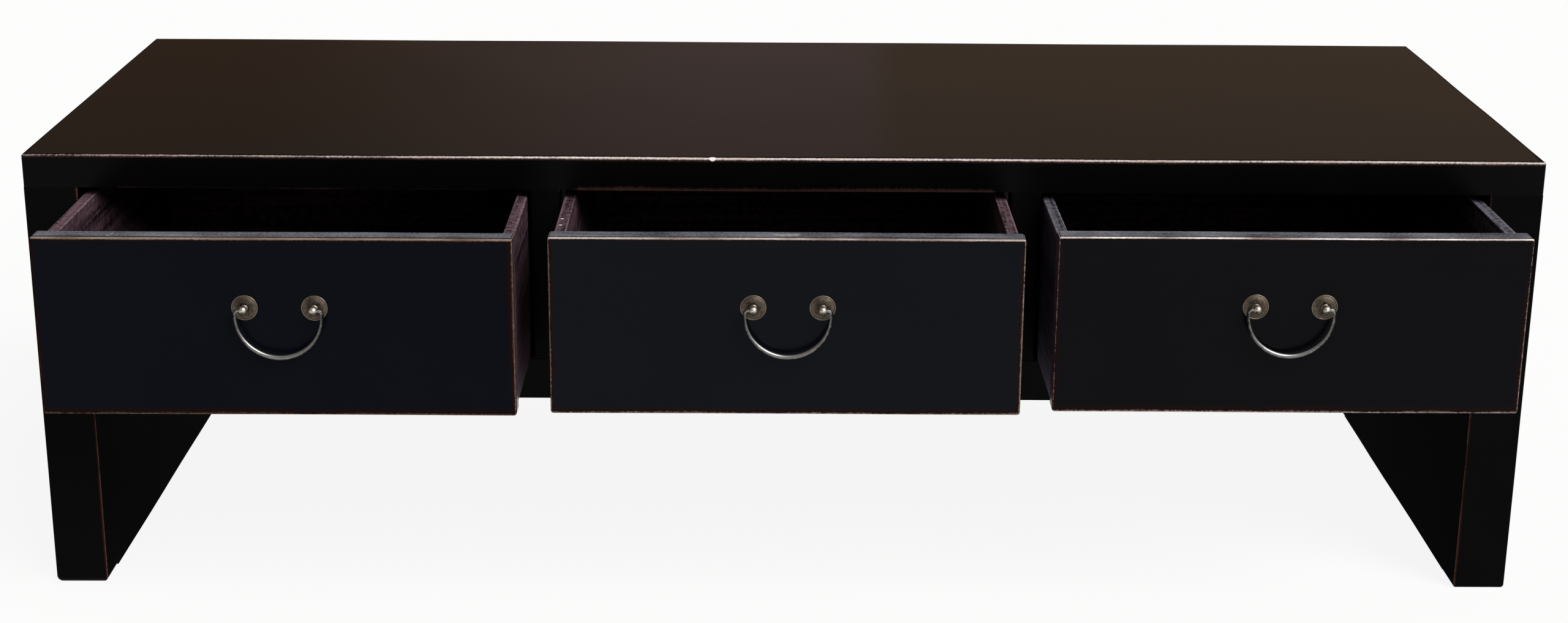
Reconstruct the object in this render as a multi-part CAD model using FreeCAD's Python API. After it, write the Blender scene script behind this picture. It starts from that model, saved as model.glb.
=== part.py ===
import FreeCAD, Part
import math
import os

# Low stand with slab sides and three drawers, in millimetres.
# X runs along the front to the right, Y runs from the front to the back and Z runs up from the floor.
# The origin is on the floor, under the middle of the stand with its drawers standing open as at rest.

# Overall size of the stand, drawers closed
stand_width = 1600.0
stand_depth = 560.0
stand_height = 490.0

# Top: four mitred frame members round a flush panel, with battens under it
frame_height = 36.0
frame_width = 84.0
panel_thickness = 16.0
panel_tongue = 8.0
panel_tongue_thickness = 6.0
batten_width = 76.0
batten_tenon_length = 12.0
batten_tenon_thickness = 8.0

# Legs: square posts, with two boards and a foot rail between them on each side
post_size = 56.0
post_tenon_size = 30.0
post_tenon_length = 22.0
side_board = 18.0
side_recess = 1.5
post_groove = 8.0
foot_rail_height = 40.0
foot_rail_tenon_length = 15.0
foot_rail_tenon_inset = 8.0

# Front and back of the carcass
opening_height = 188.0
divider_width = 31.0
rail_height = 46.0
rail_thickness = 30.0
rail_tenon_length = 20.0
rail_tenon_thickness = 12.0
rail_tenon_inset = 8.0
divider_tenon_length = 14.0
back_board = 10.0
back_board_inset = 10.0

# What the drawers run on
runner_height = 24.0
runner_tenon_length = 8.0
runner_tenon_inset = 7.0
runner_bearing = 18.0
guide_height = 18.0
guide_clearance = 0.6
stop_length = 38.0
stop_size = 12.0
stop_clearance = 0.3

# Drawers
drawer_open = (170.0, 162.0, 152.0)
front_gap = 1.2
front_thickness = 22.0
front_rounding = 1.5
side_thickness = 12.0
side_inset = 2.6
side_drop = 8.5
runner_clearance = 0.3
side_tongue_length = 8.0
side_tongue_thickness = 6.0
side_tongue_margin = 14.0
bottom_thickness = 6.0
bottom_height = 8.0
bottom_groove = 6.0
back_thickness = 12.0
back_groove = 5.0
back_inset = 10.0
back_drop = 8.0

# Pulls: two plates and ball-headed posts on each drawer front, with a bail hung between the balls
pull_offset = (5.0, 1.5, -2.5)
pull_below_top = 72.0
post_spacing = 69.0
plate_diameter = 26.5
plate_height = 3.2
plate_rim_height = 1.3
plate_bead_width = 1.6
ball_diameter = 9.0
ball_stand_off = 9.0
neck_diameter = 5.2
shank_diameter = 4.0
shank_clearance = 0.1
bail_rod = 3.6
bail_clearance = 0.08
bail_width = 86.4
bail_drop = 50.0
bail_bend = 4.0
pin_inset = 0.8
washer_diameter = 10.0
washer_thickness = 1.0
nut_across_flats = 7.0
nut_height = 3.2
thread_end = 1.5

# Places that follow from the sizes above
pull_reach = ball_stand_off + ball_diameter / 2
x_side = stand_width / 2
y_front = (max(drawer_open) + pull_reach - stand_depth) / 2
y_back = y_front + stand_depth
z_opening_top = stand_height - frame_height
z_opening_bottom = z_opening_top - opening_height
z_rail_bottom = z_opening_bottom - rail_height
x_post = x_side - post_size
y_rail = y_front + rail_thickness
y_back_rail = y_back - rail_thickness
opening_width = (2 * x_post - 2 * divider_width) / 3
opening_pitch = opening_width + divider_width
divider_centres = (-opening_pitch / 2, opening_pitch / 2)
drawer_centres = (-opening_pitch, 0.0, opening_pitch)
drawer_names = ("left", "middle", "right")
front_width = opening_width - 2 * front_gap
box_half_width = front_width / 2 - side_inset
inner_half_width = box_half_width - side_thickness
z_front_bottom = z_opening_bottom + front_gap
z_front_top = z_opening_top - front_gap
z_side_bottom = z_opening_bottom + runner_clearance
z_side_top = z_front_top - side_drop
z_bottom = z_side_bottom + bottom_height
box_length = y_back_rail - stop_length - stop_clearance - y_front - front_thickness
z_pull = z_front_top - pull_below_top


def point(x, y, z):
    return FreeCAD.Vector(x, y, z)


def block(x0, x1, y0, y1, z0, z1):
    return Part.makeBox(x1 - x0, y1 - y0, z1 - z0, point(x0, y0, z0))


def prism(corners, z0, z1):
    outline = [point(x, y, z0) for x, y in corners]
    face = Part.Face(Part.makePolygon(outline + outline[:1]))
    return face.extrude(point(0, 0, z1 - z0))


def cylinder_x(radius, x0, x1, y, z):
    return Part.makeCylinder(radius, x1 - x0, point(x0, y, z), point(1, 0, 0))


def cylinder_y(radius, x, y0, y1, z):
    return Part.makeCylinder(radius, y1 - y0, point(x, y0, z), point(0, 1, 0))


def save(name, shape):
    shape.exportStep("parts/" + name + ".step")
    print(name, "solids", len(shape.Solids), "volume", round(shape.Volume))


# Tenon on top of a corner post, held by both frame members that meet over it.
def post_tenon(x_sign, y_outer, y_sign):
    margin = (post_size - post_tenon_size) / 2
    xs = sorted((x_sign * (x_side - margin), x_sign * (x_side - margin - post_tenon_size)))
    ys = sorted((y_outer + y_sign * margin, y_outer + y_sign * (margin + post_tenon_size)))
    return block(xs[0], xs[1], ys[0], ys[1], z_opening_top, z_opening_top + post_tenon_length)


# Tenons at both ends of a batten, in the front and back frame members.
def batten_tenons(centre):
    half = batten_width / 2 - batten_tenon_thickness
    z0 = z_opening_top + (frame_height - panel_thickness - batten_tenon_thickness) / 2
    y0 = y_front + frame_width
    y1 = y_back - frame_width
    ends = []
    for start in (y0 - batten_tenon_length, y1):
        ends.append(block(centre - half, centre + half, start, start + batten_tenon_length,
                          z0, z0 + batten_tenon_thickness))
    return ends


# Tenons above and below a divider, in the top frame and in the front rail.
def divider_tenons(centre):
    half = (divider_width - rail_tenon_thickness) / 2
    y0 = y_front + (rail_thickness - rail_tenon_thickness) / 2
    ends = []
    for z0 in (z_opening_top, z_opening_bottom - divider_tenon_length):
        ends.append(block(centre - half, centre + half, y0, y0 + rail_tenon_thickness,
                          z0, z0 + divider_tenon_length))
    return ends


# Tenons at both ends of a front or back rail, in the posts.
def rail_tenons(y0):
    y_tenon = y0 + (rail_thickness - rail_tenon_thickness) / 2
    ends = []
    for start in (-x_post - rail_tenon_length, x_post):
        ends.append(block(start, start + rail_tenon_length, y_tenon, y_tenon + rail_tenon_thickness,
                          z_rail_bottom + rail_tenon_inset, z_opening_bottom - rail_tenon_inset))
    return ends


# Tenons at both ends of a runner, in the front and back rails.
def runner_tenons(x0, x1):
    ends = []
    for start in (y_rail - runner_tenon_length, y_back_rail):
        ends.append(block(x0 + runner_tenon_inset, x1 - runner_tenon_inset, start, start + runner_tenon_length,
                          z_opening_bottom - runner_height + runner_tenon_inset,
                          z_opening_bottom - runner_tenon_inset))
    return ends


# Runner widths: the outer runners lie against the posts, and the others reach under two drawers.
def runner_spans():
    under_side = side_inset + front_gap + runner_bearing
    spans = [(-x_post, -x_post + under_side)]
    for centre in divider_centres:
        reach = divider_width / 2 + under_side
        spans.append((centre - reach, centre + reach))
    spans.append((x_post - under_side, x_post))
    return spans


# Guide widths: each guide fills the room beside or between the drawer boxes.
def guide_spans():
    room = side_inset + front_gap - guide_clearance
    spans = [(-x_post, -x_post + room)]
    for centre in divider_centres:
        reach = divider_width / 2 + room
        spans.append((centre - reach, centre + reach))
    spans.append((x_post - room, x_post))
    return spans


# Boards between the posts of one side, given as the X limits of the inner and the outer board.
def side_board_spans(x_sign):
    outer = (x_side - side_recess - side_board, x_side - side_recess)
    inner = (x_post + side_recess, x_post + side_recess + side_board)
    return [tuple(sorted((x_sign * a, x_sign * b))) for a, b in (inner, outer)]


def side_board_blocks(x_sign):
    boards = []
    for x0, x1 in side_board_spans(x_sign):
        boards.append(block(x0, x1, y_front + post_size - post_groove, y_back - post_size + post_groove,
                            0, z_opening_top))
    return boards


def foot_rail(x_sign):
    edge_a = x_post + side_recess + side_board
    edge_b = x_side - side_recess - side_board
    x0, x1 = sorted((x_sign * edge_a, x_sign * edge_b))
    y0 = y_front + post_size
    y1 = y_back - post_size
    inset = (x1 - x0) / 4
    body = block(x0, x1, y0, y1, 0, foot_rail_height)
    tenon = block(x0 + inset, x1 - inset, y0 - foot_rail_tenon_length, y1 + foot_rail_tenon_length,
                  foot_rail_tenon_inset, foot_rail_height - foot_rail_tenon_inset)
    return body.fuse(tenon).removeSplitter()


def back_board_block():
    y1 = y_back - back_board_inset
    return block(-x_post - post_groove, x_post + post_groove, y1 - back_board, y1,
                 z_opening_bottom, z_opening_top)


def top_panel():
    x1 = x_side - frame_width
    y0 = y_front + frame_width
    y1 = y_back - frame_width
    z0 = stand_height - panel_thickness
    field = block(-x1, x1, y0, y1, z0, stand_height)
    tongue = block(-x1 - panel_tongue, x1 + panel_tongue, y0 - panel_tongue, y1 + panel_tongue,
                   z0, z0 + panel_tongue_thickness)
    return field.fuse(tongue).removeSplitter()


def make_top():
    a = x_side
    b = x_side - frame_width
    c = y_front
    d = y_front + frame_width
    e = y_back - frame_width
    f = y_back
    outlines = {
        "top_frame_front": ((-a, c), (a, c), (b, d), (-b, d)),
        "top_frame_back": ((-b, e), (b, e), (a, f), (-a, f)),
        "top_frame_left": ((-a, c), (-b, d), (-b, e), (-a, f)),
        "top_frame_right": ((b, d), (a, c), (a, f), (b, e)),
    }
    panel = top_panel()
    let_in = [panel]
    for x_sign in (-1, 1):
        let_in.append(post_tenon(x_sign, y_front, 1))
        let_in.append(post_tenon(x_sign, y_back, -1))
    for centre in divider_centres:
        let_in.extend(batten_tenons(centre))
        let_in.append(divider_tenons(centre)[0])
    for name, outline in outlines.items():
        member = prism(outline, z_opening_top, stand_height)
        save(name, member.cut(let_in).removeSplitter())
    save("top_panel", panel)
    for name, centre in zip(("top_batten_left", "top_batten_right"), divider_centres):
        body = block(centre - batten_width / 2, centre + batten_width / 2, d, e,
                     z_opening_top, stand_height - panel_thickness)
        save(name, body.fuse(batten_tenons(centre)).removeSplitter())


def make_legs():
    for side, x_sign in (("left", -1), ("right", 1)):
        inner, outer = side_board_blocks(x_sign)
        rail = foot_rail(x_sign)
        save("side_inner_board_" + side, inner)
        save("side_outer_board_" + side, outer)
        save("side_foot_rail_" + side, rail)
        x0, x1 = sorted((x_sign * x_post, x_sign * x_side))
        for end, y_outer, y_sign, y_rail_start in (("front", y_front, 1, y_front),
                                                   ("back", y_back, -1, y_back_rail)):
            y0, y1 = sorted((y_outer, y_outer + y_sign * post_size))
            post = block(x0, x1, y0, y1, 0, z_opening_top)
            post = post.fuse(post_tenon(x_sign, y_outer, y_sign))
            let_in = [inner, outer, rail] + rail_tenons(y_rail_start)
            if end == "back":
                let_in.append(back_board_block())
            save("post_" + end + "_" + side, post.cut(let_in).removeSplitter())


def make_rails():
    runner_ends = []
    for x0, x1 in runner_spans():
        runner_ends.extend(runner_tenons(x0, x1))
    divider_ends = []
    for centre in divider_centres:
        divider_ends.extend(divider_tenons(centre))
    for name, y0 in (("front_bottom_rail", y_front), ("back_bottom_rail", y_back_rail)):
        rail = block(-x_post, x_post, y0, y0 + rail_thickness, z_rail_bottom, z_opening_bottom)
        rail = rail.fuse(rail_tenons(y0))
        save(name, rail.cut(runner_ends + divider_ends).removeSplitter())
    for name, centre in zip(("divider_left", "divider_right"), divider_centres):
        half = divider_width / 2
        divider = block(centre - half, centre + half, y_front, y_rail, z_opening_bottom, z_opening_top)
        save(name, divider.fuse(divider_tenons(centre)).removeSplitter())
    save("back_board", back_board_block())


def make_runners():
    names = ("outer_left", "inner_left", "inner_right", "outer_right")
    for name, (x0, x1) in zip(names, runner_spans()):
        runner = block(x0, x1, y_rail, y_back_rail, z_opening_bottom - runner_height, z_opening_bottom)
        save("runner_" + name, runner.fuse(runner_tenons(x0, x1)).removeSplitter())
    for name, (x0, x1) in zip(names, guide_spans()):
        save("guide_" + name, block(x0, x1, y_rail, y_back_rail,
                                    z_opening_bottom, z_opening_bottom + guide_height))
    stops = []
    for centre in drawer_centres:
        for x_sign in (-1, 1):
            x0, x1 = sorted((centre + x_sign * box_half_width, centre + x_sign * (box_half_width - stop_size)))
            stops.append(block(x0, x1, y_back_rail - stop_length, y_back_rail,
                               z_opening_bottom, z_opening_bottom + stop_size))
    save("drawer_stops", Part.makeCompound(stops))


def plate(x, y):
    outer = plate_diameter / 2
    hole = shank_diameter / 2 + shank_clearance
    bead = outer - plate_bead_width
    crown = neck_diameter / 2 + plate_bead_width
    profile = (
        (hole, 0.0), (outer, 0.0), (outer, plate_rim_height / 2), ((outer + bead) / 2, plate_rim_height),
        (bead, plate_rim_height * 0.7), ((bead + crown) / 2, plate_height * 0.8), (crown, plate_height),
        (hole, plate_height),
    )
    outline = [point(x + radius, y - height, z_pull) for radius, height in profile]
    face = Part.Face(Part.makePolygon(outline + outline[:1]))
    return face.revolve(point(x, y, z_pull), point(0, 1, 0), 360)


def ball_post(x, y):
    y_ball = y - ball_stand_off
    y_end = y + front_thickness + washer_thickness + nut_height + thread_end
    ball = Part.makeSphere(ball_diameter / 2, point(x, y_ball, z_pull))
    neck = cylinder_y(neck_diameter / 2, x, y_ball, y - plate_height, z_pull)
    shank = cylinder_y(shank_diameter / 2, x, y - plate_height, y_end, z_pull)
    hole = cylinder_x(bail_rod / 2 + bail_clearance, x - ball_diameter, x + ball_diameter, y_ball, z_pull)
    return ball.fuse([neck, shank]).cut(hole).removeSplitter()


def washer(x, y):
    disc = cylinder_y(washer_diameter / 2, x, y, y + washer_thickness, z_pull)
    return disc.cut(cylinder_y(shank_diameter / 2 + shank_clearance, x, y, y + washer_thickness, z_pull))


def nut(x, y):
    reach = nut_across_flats / 2 / math.cos(math.pi / 6)
    corners = []
    for step in range(6):
        angle = math.pi / 3 * step
        corners.append(point(x + reach * math.cos(angle), y, z_pull + reach * math.sin(angle)))
    body = Part.Face(Part.makePolygon(corners + corners[:1])).extrude(point(0, nut_height, 0))
    return body.cut(cylinder_y(shank_diameter / 2 + shank_clearance, x, y, y + nut_height, z_pull))


# Bail: straight pins in the balls, small bends, short sides and a half circle below.
def bail(centre, y):
    half = bail_width / 2
    pin_end = post_spacing / 2 - ball_diameter / 2 + pin_inset
    y_rod = y - ball_stand_off
    z_bow = z_pull - bail_drop + half
    diagonal = bail_bend * math.sqrt(0.5)

    def at(x, z):
        return point(centre + x, y_rod, z)

    edges = [Part.makeLine(at(-pin_end, z_pull), at(-half + bail_bend, z_pull))]
    edges.append(Part.Arc(at(-half + bail_bend, z_pull),
                          at(-half + bail_bend - diagonal, z_pull - bail_bend + diagonal),
                          at(-half, z_pull - bail_bend)).toShape())
    edges.append(Part.makeLine(at(-half, z_pull - bail_bend), at(-half, z_bow)))
    edges.append(Part.Arc(at(-half, z_bow), at(0, z_pull - bail_drop), at(half, z_bow)).toShape())
    edges.append(Part.makeLine(at(half, z_bow), at(half, z_pull - bail_bend)))
    edges.append(Part.Arc(at(half, z_pull - bail_bend),
                          at(half - bail_bend + diagonal, z_pull - bail_bend + diagonal),
                          at(half - bail_bend, z_pull)).toShape())
    edges.append(Part.makeLine(at(half - bail_bend, z_pull), at(pin_end, z_pull)))
    section = Part.makeCircle(bail_rod / 2, at(-pin_end, z_pull), point(1, 0, 0))
    return Part.Wire(edges).makePipeShell([Part.Wire(section)], True, True)


def make_drawer(name, centre, opened, offset):
    y0 = y_front - opened
    y_box = y0 + front_thickness
    y_end = y_box + box_length
    holes = [centre + offset - post_spacing / 2, centre + offset + post_spacing / 2]

    front = block(centre - front_width / 2, centre + front_width / 2, y0, y_box, z_front_bottom, z_front_top)
    outer_edges = []
    for edge in front.Edges:
        if all(abs(vertex.Y - y0) < front_rounding / 2 for vertex in edge.Vertexes):
            outer_edges.append(edge)
    front = front.makeFillet(front_rounding, outer_edges)

    z_floor = z_bottom + bottom_thickness
    bottom = block(centre - inner_half_width - bottom_groove, centre + inner_half_width + bottom_groove,
                   y_box - bottom_groove, y_end, z_bottom, z_floor)
    back = block(centre - inner_half_width - back_groove, centre + inner_half_width + back_groove,
                 y_end - back_inset - back_thickness, y_end - back_inset, z_floor, z_side_top - back_drop)
    let_in = [bottom]
    for side, x_sign in (("left", -1), ("right", 1)):
        x0, x1 = sorted((centre + x_sign * inner_half_width, centre + x_sign * box_half_width))
        t0, t1 = sorted((centre + x_sign * inner_half_width,
                         centre + x_sign * (inner_half_width + side_tongue_thickness)))
        board = block(x0, x1, y_box, y_end, z_side_bottom, z_side_top)
        tongue = block(t0, t1, y_box - side_tongue_length, y_box,
                       z_front_bottom + side_tongue_margin, z_side_top - side_tongue_margin)
        let_in.append(tongue)
        save("drawer_" + name + "_side_" + side, board.fuse(tongue).cut([bottom, back]).removeSplitter())
    for x in holes:
        let_in.append(cylinder_y(shank_diameter / 2 + shank_clearance, x, y0, y_box, z_pull))
    save("drawer_" + name + "_front", front.cut(let_in).removeSplitter())
    save("drawer_" + name + "_bottom", bottom)
    save("drawer_" + name + "_back", back)

    save("pull_" + name + "_plates", Part.makeCompound([plate(x, y0) for x in holes]))
    save("pull_" + name + "_posts", Part.makeCompound([ball_post(x, y0) for x in holes]))
    fixings = [washer(x, y_box) for x in holes] + [nut(x, y_box + washer_thickness) for x in holes]
    save("pull_" + name + "_fixings", Part.makeCompound(fixings))
    save("pull_" + name + "_bail", bail(centre + offset, y0))


os.makedirs("parts", exist_ok=True)
make_top()
make_legs()
make_rails()
make_runners()
for drawer in zip(drawer_names, drawer_centres, drawer_open, pull_offset):
    make_drawer(*drawer)
print("front plane at y", y_front, "back at", y_back)
print("pull axis at z", z_pull, "box length", box_length)
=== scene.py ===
import itertools
import math

import bmesh
import bpy
import numpy as np
from mathutils import Matrix, Vector


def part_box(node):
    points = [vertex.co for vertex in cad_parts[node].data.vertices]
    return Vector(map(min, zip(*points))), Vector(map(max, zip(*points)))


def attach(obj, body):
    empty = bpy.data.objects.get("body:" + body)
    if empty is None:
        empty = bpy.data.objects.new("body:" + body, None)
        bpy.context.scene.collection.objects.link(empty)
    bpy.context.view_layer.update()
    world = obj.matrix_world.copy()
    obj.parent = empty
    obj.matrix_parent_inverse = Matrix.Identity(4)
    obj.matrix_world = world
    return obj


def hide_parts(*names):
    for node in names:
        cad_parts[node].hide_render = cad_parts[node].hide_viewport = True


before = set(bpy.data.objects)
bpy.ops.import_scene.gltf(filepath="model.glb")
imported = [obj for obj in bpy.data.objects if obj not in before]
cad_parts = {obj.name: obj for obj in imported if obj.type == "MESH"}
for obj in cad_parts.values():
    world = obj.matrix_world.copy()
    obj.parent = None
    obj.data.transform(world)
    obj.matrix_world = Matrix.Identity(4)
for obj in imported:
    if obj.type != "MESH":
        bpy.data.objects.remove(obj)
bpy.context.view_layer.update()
scene = bpy.context.scene
mm = 0.001
print("frame loaded:", len(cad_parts), "nodes")

mixShare, mixFrom, mixTo, mixResult = 0, 6, 7, 2  # a colour mix's sockets, by their place in the node


def linear(hexColour):
    # an sRGB hex value as a linear colour with full alpha, by the standard sRGB curve
    parts = np.array([int(hexColour[i:i + 2], 16) for i in (1, 3, 5)]) / 255
    light = np.where(parts <= 0.04045, parts / 12.92, ((parts + 0.055) / 1.055) ** 2.4)
    return (*light.tolist(), 1.0)


def addNode(tree, kind, inputs=None, **settings):
    # one shader node with its settings; an input is a value or the socket that feeds it
    made = tree.nodes.new(kind)
    for key, value in settings.items():
        setattr(made, key, value)
    for key, value in (inputs or {}).items():
        if isinstance(value, bpy.types.NodeSocket):
            tree.links.new(value, made.inputs[key])
        else:
            made.inputs[key].default_value = value
    return made


def newMaterial(name):
    material = bpy.data.materials.new(name)
    material.use_nodes = True
    material.node_tree.nodes.clear()
    return material, material.node_tree


def perMetre(sizeInMm):
    return 1000.0 / sizeInMm  # texture scale of a pattern of that size, on coordinates in metres


def stretchedScale(along, width, length):
    # texture scales of marks that wide in mm, drawn out to that length along one axis
    scale = [perMetre(width)] * 3
    scale["xyz".index(along)] = perMetre(length)
    return scale


def fromRange(ends):
    return {"From Min": ends[0], "From Max": ends[1]}  # the values that a map range takes to 0 and 1


def withChips(tree, where, tone, look):
    # the tone with a round spot of the chip's colour at each place, softened over its edge
    for x, y, z, radius in look["chips"]:
        gap = addNode(tree, "ShaderNodeVectorMath", {0: where, 1: (x, y, z)}, operation="DISTANCE")
        ends = (radius * mm, radius * look["chipEdge"] * mm)
        spot = addNode(tree, "ShaderNodeMapRange", {"Value": gap.outputs["Value"], **fromRange(ends)})
        tone = addNode(tree, "ShaderNodeMix", {
            mixShare: spot.outputs[0], mixFrom: tone, mixTo: linear(look["chip"])},
            data_type="RGBA").outputs[mixResult]
    return tone


# Black lacquer: a few brushed coats over a red-brown undercoat and a pale ground, rubbed through
# at the arrises by hand. The film is near black with a soft deep gloss and faint brush marks, and
# an arris shows a pale core with a thin matt red-brown border. The attribute "arris" is 1 at an
# edge and falls to 0 over wearReach; "rub" marks faces that hands and dust have dulled to blue
# grey, and "stain" marks ends that were wiped with the drawers' stain and never lacquered.
wearReach = 8.0  # mm
lacquerLook = {
    "film": "#030304", "filmPale": "#070708", "undercoat": "#1a0a06", "ground": "#6b4f43",
    "groundPale": "#c9ada1", "dull": "#2f3138", "dullPale": "#7e8189", "stain": "#31232a",
    "stainPale": "#564550", "chip": "#f4efed", "chipEdge": 0.8, "chips": (),
    "roughness": 0.2, "wornRoughness": 1.0, "mottleRoughness": 0.08, "specular": 0.065,
    # sizes in mm
    "mottle": 160, "slow": 55, "ragged": 2.6, "brushWidth": 1.1, "brushLength": 80,
    "coreWidth": 1.0, "borderWidth": 2.3, "uneven": 2.0, "raggedDepth": 1.1, "bumpHeight": 0.2,
    # where the core is full, in core widths, and the dull tone starts and is full, in border widths
    "coreFull": 0.3, "dullEdge": (0.8, 1.3),
    # noise values at which the paler tone starts and is full
    "streakRange": (1.2, 1.8), "paleRange": (0.36, 0.6), "speckleRange": (0.35, 0.65), "bump": 0.15,
}


def makeLacquer(name, brushAlong, **changes):
    look = {**lacquerLook, **changes}
    material, tree = newMaterial(name)
    where = addNode(tree, "ShaderNodeTexCoord").outputs["Object"]
    brushPlace = addNode(tree, "ShaderNodeMapping", {
        "Vector": where, "Scale": stretchedScale(brushAlong, look["brushWidth"], look["brushLength"])})
    brush = addNode(tree, "ShaderNodeTexNoise", {
        "Vector": brushPlace.outputs[0], "Scale": 1.0, "Detail": 3.0}).outputs[0]
    mottle = addNode(tree, "ShaderNodeTexNoise", {
        "Vector": where, "Scale": perMetre(look["mottle"]), "Detail": 5.0, "Roughness": 0.6}).outputs[0]
    slow = addNode(tree, "ShaderNodeTexNoise", {
        "Vector": where, "Scale": perMetre(look["slow"]), "Detail": 3.0}).outputs[0]
    ragged = addNode(tree, "ShaderNodeTexNoise", {
        "Vector": where, "Scale": perMetre(look["ragged"]), "Detail": 3.0, "Roughness": 0.65}).outputs[0]
    # distance from the arris in mm, uneven along its length and ragged at its border
    arris, rub, stain = (addNode(tree, "ShaderNodeAttribute", attribute_name=key).outputs["Fac"]
                         for key in ("arris", "rub", "stain"))
    depth = addNode(tree, "ShaderNodeMapRange", {
        "Value": arris, **fromRange((1.0, 0.0)), "To Max": wearReach}).outputs[0]
    for noise, spread in ((slow, look["uneven"]), (ragged, look["raggedDepth"])):
        part = addNode(tree, "ShaderNodeMath", {0: noise, 1: spread, 2: -spread / 2},
                       operation="MULTIPLY_ADD")
        depth = addNode(tree, "ShaderNodeMath", {0: depth, 1: part.outputs[0]}, operation="ADD").outputs[0]
    coreWidth, borderWidth = look["coreWidth"], look["borderWidth"]
    dullStart, dullFull = look["dullEdge"]
    core, border, clear = (addNode(
        tree, "ShaderNodeMapRange", {"Value": depth, **fromRange(ends)},
        interpolation_type="SMOOTHSTEP").outputs[0] for ends in (
            (coreWidth, coreWidth * look["coreFull"]), (borderWidth, coreWidth),
            (borderWidth * dullStart, borderWidth * dullFull)))
    # the dulled faces keep a narrow dark line beside their worn arris
    dull = addNode(tree, "ShaderNodeMath", {0: rub, 1: clear}, operation="MULTIPLY").outputs[0]
    streak = addNode(tree, "ShaderNodeMath", {0: brush, 1: slow}, operation="ADD").outputs[0]
    streak = addNode(tree, "ShaderNodeMath", {0: streak, 1: ragged}, operation="ADD").outputs[0]
    streak, pale, speckle = (addNode(
        tree, "ShaderNodeMapRange", {"Value": noise, **fromRange(look[ends])}).outputs[0]
        for noise, ends in ((streak, "streakRange"), (slow, "paleRange"), (ragged, "speckleRange")))
    tone, dullTone, groundTone, stainTone = (addNode(tree, "ShaderNodeMix", {
        mixShare: share, mixFrom: linear(look[coat]), mixTo: linear(look[coat + "Pale"])},
        data_type="RGBA").outputs[mixResult] for share, coat in (
            (mottle, "film"), (streak, "dull"), (pale, "ground"), (speckle, "stain")))
    for share, colour in ((stain, stainTone), (dull, dullTone),
                          (border, linear(look["undercoat"])), (core, groundTone)):
        tone = addNode(tree, "ShaderNodeMix", {mixShare: share, mixFrom: tone, mixTo: colour},
                       data_type="RGBA").outputs[mixResult]
    tone = withChips(tree, where, tone, look)
    bare = addNode(tree, "ShaderNodeMath", {0: border, 1: dull}, operation="MAXIMUM").outputs[0]
    gloss = addNode(tree, "ShaderNodeMapRange", {
        "Value": bare, "To Min": look["roughness"], "To Max": look["wornRoughness"]}).outputs[0]
    gloss = addNode(tree, "ShaderNodeMath", {0: mottle, 1: look["mottleRoughness"], 2: gloss},
                    operation="MULTIPLY_ADD").outputs[0]
    marks = addNode(tree, "ShaderNodeMath", {0: ragged, 1: bare, 2: brush},
                    operation="MULTIPLY_ADD").outputs[0]
    bump = addNode(tree, "ShaderNodeBump", {
        "Strength": look["bump"], "Distance": look["bumpHeight"] * mm, "Height": marks})
    shader = addNode(tree, "ShaderNodeBsdfPrincipled", {
        "Base Color": tone, "Roughness": gloss, "IOR": 1.5,
        "Specular IOR Level": look["specular"], "Normal": bump.outputs[0]})
    addNode(tree, "ShaderNodeOutputMaterial", {"Surface": shader.outputs[0]})
    return material


# Stained softwood: sawn and planed boards, wiped with a red-purple stain and never filled. The
# grain runs the board's length in narrow lighter and darker bands, and the edges that hands and
# runners rub are worn to a pale pinkish grey.
stainLook = {
    "dark": "#150a0f", "light": "#5a444d", "worn": "#786067", "chip": "#e6dedb", "chipEdge": 0.5,
    "chips": (), "roughness": 0.55, "fibreRoughness": 0.15, "specular": 0.2,
    # sizes in mm
    "grainWidth": 6.0, "grainLength": 320, "fibreWidth": 1.3, "fibreLength": 40, "blotch": 6,
    "wornWidth": 3.5, "bumpHeight": 0.3,
    # how much each noise counts in the bands, and the band values where a tone starts and is full
    "fibreShare": 0.55, "grainShare": 1.1, "toneRange": (1.05, 1.62), "patchRange": (1.1, 1.5),
    "patchLeast": 0.1, "arrisWear": 0.8, "rubWear": 0.62, "bump": 0.3,
}


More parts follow.
